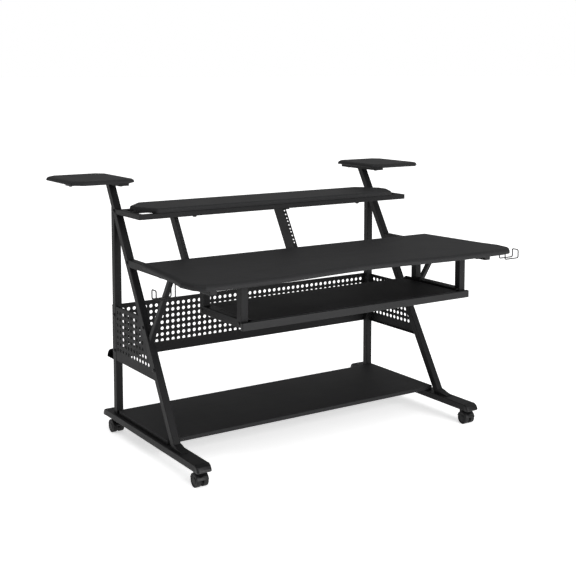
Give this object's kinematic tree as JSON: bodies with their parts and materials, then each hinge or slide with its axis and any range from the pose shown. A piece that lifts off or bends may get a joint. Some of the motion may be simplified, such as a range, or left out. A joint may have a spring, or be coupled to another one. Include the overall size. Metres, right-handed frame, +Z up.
{
  "type": "computer desk with keyboard tray",
  "caption": "Rolling studio desk with slanted steel side frames, a waved desktop, sliding keyboard tray, rack rails, shelves and speaker platforms.",
  "frame": {"origin": "centre of the bounding box's underside, on the floor", "axes": "+Z up, +X to the sitter's right along the desk, -Y towards the sitter"},
  "size_m": [1.586, 1.004, 0.971],
  "materials": {
    "black_steel": "fine-textured satin powder coat",
    "laminate_board": "matt dark laminate",
    "black_plastic": "moulded, satin",
    "bare_steel": "zinc plated"
  },
  "bodies": {
    "frame": {"back_panel": "black_steel", "base_rail_left": "black_steel", "base_rail_right": "black_steel", "bottom_shelf": "laminate_board", "cable_channel": "black_steel", "desk_support_left": "black_steel", "desk_support_right": "black_steel", "desktop": "laminate_board", "diagonal_brace_left": "black_steel", "diagonal_brace_right": "black_steel", "headphone_hook_left": "black_steel", "headphone_hook_right": "black_steel", "leg_foot_left": "black_steel", "leg_foot_right": "black_steel", "platform_bracket_left": "black_steel", "platform_bracket_right": "black_steel", "rack_rail_left": "black_steel", "rack_rail_right": "black_steel", "rail_cap_front_left": "black_plastic", "rail_cap_front_right": "black_plastic", "rail_cap_rear_left": "black_plastic", "rail_cap_rear_right": "black_plastic", "rear_post_left": "black_steel", "rear_post_right": "black_steel", "shelf_bar": "black_steel", "shelf_loop": "black_steel", "side_panel_left": "black_steel", "side_panel_right": "black_steel", "slanted_leg_left": "black_steel", "slanted_leg_right": "black_steel", "speaker_platform_left": "laminate_board", "speaker_platform_right": "laminate_board", "tray_hanger_left": "black_steel", "tray_hanger_right": "black_steel", "tray_slide_outer_left": "black_steel", "tray_slide_outer_right": "black_steel", "upper_shelf": "laminate_board"},
    "tray": {"keyboard_tray": "laminate_board", "tray_strip": "black_plastic", "tray_slide_inner_left": "black_steel", "tray_slide_inner_right": "black_steel"},
    "caster_front_left": {"caster_housing_front_left": "black_plastic", "caster_axle_front_left": "bare_steel"},
    "wheel_left_front_left": {"caster_wheel_left_front_left": "black_plastic"},
    "wheel_right_front_left": {"caster_wheel_right_front_left": "black_plastic"},
    "caster_front_right": {"caster_housing_front_right": "black_plastic", "caster_axle_front_right": "bare_steel"},
    "wheel_left_front_right": {"caster_wheel_left_front_right": "black_plastic"},
    "wheel_right_front_right": {"caster_wheel_right_front_right": "black_plastic"},
    "caster_rear_left": {"caster_housing_rear_left": "black_plastic", "caster_axle_rear_left": "bare_steel"},
    "wheel_left_rear_left": {"caster_wheel_left_rear_left": "black_plastic"},
    "wheel_right_rear_left": {"caster_wheel_right_rear_left": "black_plastic"},
    "caster_rear_right": {"caster_housing_rear_right": "black_plastic", "caster_axle_rear_right": "bare_steel"},
    "wheel_left_rear_right": {"caster_wheel_left_rear_right": "black_plastic"},
    "wheel_right_rear_right": {"caster_wheel_right_rear_right": "black_plastic"}
  },
  "joints": [
    {"name": "tray_slide", "type": "slide", "parent": "frame", "child": "tray", "axis": [0, -1, 0], "range_m": [0, 0.2]},
    {"name": "swivel_front_left", "type": "hinge", "parent": "frame", "child": "caster_front_left", "pos_m": [-0.5875, -0.31495, 0.05], "axis": [0, 0, 1], "continuous": true},
    {"name": "spin_left_front_left", "type": "hinge", "parent": "caster_front_left", "child": "wheel_left_front_left", "pos_m": [-0.601, -0.33095, 0.023], "axis": [1, 0, 0], "continuous": true},
    {"name": "spin_right_front_left", "type": "hinge", "parent": "caster_front_left", "child": "wheel_right_front_left", "pos_m": [-0.574, -0.33095, 0.023], "axis": [1, 0, 0], "continuous": true},
    {"name": "swivel_front_right", "type": "hinge", "parent": "frame", "child": "caster_front_right", "pos_m": [0.5875, -0.31495, 0.05], "axis": [0, 0, 1], "continuous": true},
    {"name": "spin_left_front_right", "type": "hinge", "parent": "caster_front_right", "child": "wheel_left_front_right", "pos_m": [0.574, -0.33095, 0.023], "axis": [1, 0, 0], "continuous": true},
    {"name": "spin_right_front_right", "type": "hinge", "parent": "caster_front_right", "child": "wheel_right_front_right", "pos_m": [0.601, -0.33095, 0.023], "axis": [1, 0, 0], "continuous": true},
    {"name": "swivel_rear_left", "type": "hinge", "parent": "frame", "child": "caster_rear_left", "pos_m": [-0.5875, 0.30905, 0.05], "axis": [0, 0, 1], "continuous": true},
    {"name": "spin_left_rear_left", "type": "hinge", "parent": "caster_rear_left", "child": "wheel_left_rear_left", "pos_m": [-0.601, 0.32505, 0.023], "axis": [1, 0, 0], "continuous": true},
    {"name": "spin_right_rear_left", "type": "hinge", "parent": "caster_rear_left", "child": "wheel_right_rear_left", "pos_m": [-0.574, 0.32505, 0.023], "axis": [1, 0, 0], "continuous": true},
    {"name": "swivel_rear_right", "type": "hinge", "parent": "frame", "child": "caster_rear_right", "pos_m": [0.5875, 0.30905, 0.05], "axis": [0, 0, 1], "continuous": true},
    {"name": "spin_left_rear_right", "type": "hinge", "parent": "caster_rear_right", "child": "wheel_left_rear_right", "pos_m": [0.574, 0.32505, 0.023], "axis": [1, 0, 0], "continuous": true},
    {"name": "spin_right_rear_right", "type": "hinge", "parent": "caster_rear_right", "child": "wheel_right_rear_right", "pos_m": [0.601, 0.32505, 0.023], "axis": [1, 0, 0], "continuous": true}
  ]
}
